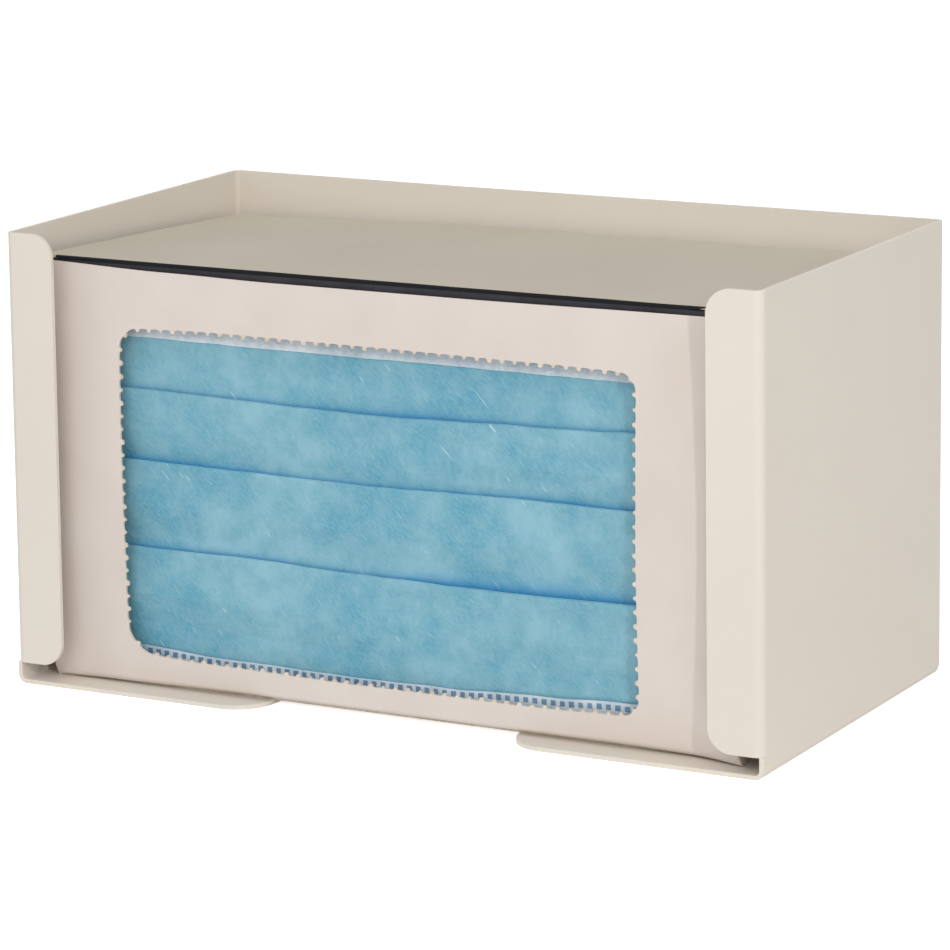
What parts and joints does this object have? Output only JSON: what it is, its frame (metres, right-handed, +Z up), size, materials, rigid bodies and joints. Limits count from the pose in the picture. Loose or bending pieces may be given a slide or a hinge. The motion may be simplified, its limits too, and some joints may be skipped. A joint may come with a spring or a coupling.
{
  "type": "face mask dispenser",
  "caption": "Folded steel dispenser, open at the top, that holds a carton of pleated face masks behind its front flanges; masks pull out through the carton's window.",
  "frame": {"origin": "on the surface that the shell stands on, under the middle of its outline", "axes": "+X to the right seen from the front, +Y to the back panel, +Z up; the window faces -Y"},
  "size_m": [0.204, 0.1066, 0.114],
  "materials": {
    "shell_paint": "satin beige powder coat",
    "carton_board": "matt coated board",
    "mask_nonwoven": "spunbond nonwoven",
    "wire_coating": "matt",
    "ear_elastic": "knitted elastic"
  },
  "bodies": {
    "dispenser": {"dispenser_shell": "shell_paint", "mask_carton": "carton_board", "nose_wire": "wire_coating", "ear_loop_left": "ear_elastic", "ear_loop_right": "ear_elastic", "front_mask": "mask_nonwoven", "mask_02": "mask_nonwoven", "mask_03": "mask_nonwoven", "mask_04": "mask_nonwoven", "mask_05": "mask_nonwoven", "mask_06": "mask_nonwoven", "mask_07": "mask_nonwoven", "mask_08": "mask_nonwoven", "mask_09": "mask_nonwoven", "mask_10": "mask_nonwoven", "mask_11": "mask_nonwoven", "mask_12": "mask_nonwoven", "mask_13": "mask_nonwoven", "mask_14": "mask_nonwoven", "mask_15": "mask_nonwoven", "mask_16": "mask_nonwoven", "mask_17": "mask_nonwoven", "mask_18": "mask_nonwoven", "mask_19": "mask_nonwoven", "mask_20": "mask_nonwoven", "mask_21": "mask_nonwoven", "mask_22": "mask_nonwoven", "mask_23": "mask_nonwoven", "mask_24": "mask_nonwoven", "mask_25": "mask_nonwoven", "mask_26": "mask_nonwoven", "mask_27": "mask_nonwoven", "mask_28": "mask_nonwoven", "mask_29": "mask_nonwoven", "mask_30": "mask_nonwoven", "mask_31": "mask_nonwoven", "mask_32": "mask_nonwoven", "mask_33": "mask_nonwoven", "mask_34": "mask_nonwoven", "mask_35": "mask_nonwoven", "mask_36": "mask_nonwoven", "mask_37": "mask_nonwoven", "mask_38": "mask_nonwoven", "mask_39": "mask_nonwoven", "mask_40": "mask_nonwoven", "mask_41": "mask_nonwoven", "mask_42": "mask_nonwoven", "mask_43": "mask_nonwoven", "mask_44": "mask_nonwoven", "mask_45": "mask_nonwoven", "mask_46": "mask_nonwoven", "mask_47": "mask_nonwoven", "mask_48": "mask_nonwoven", "mask_49": "mask_nonwoven", "mask_50": "mask_nonwoven"},
    "lid": {"carton_lid": "carton_board"}
  },
  "joints": [
    {"name": "lid_hinge", "type": "hinge", "parent": "dispenser", "child": "lid", "pos_m": [-0.002, 0.04851, 0.1047], "axis": [-1, 0, 0], "range_deg": [-1.6, 103.4]}
  ]
}
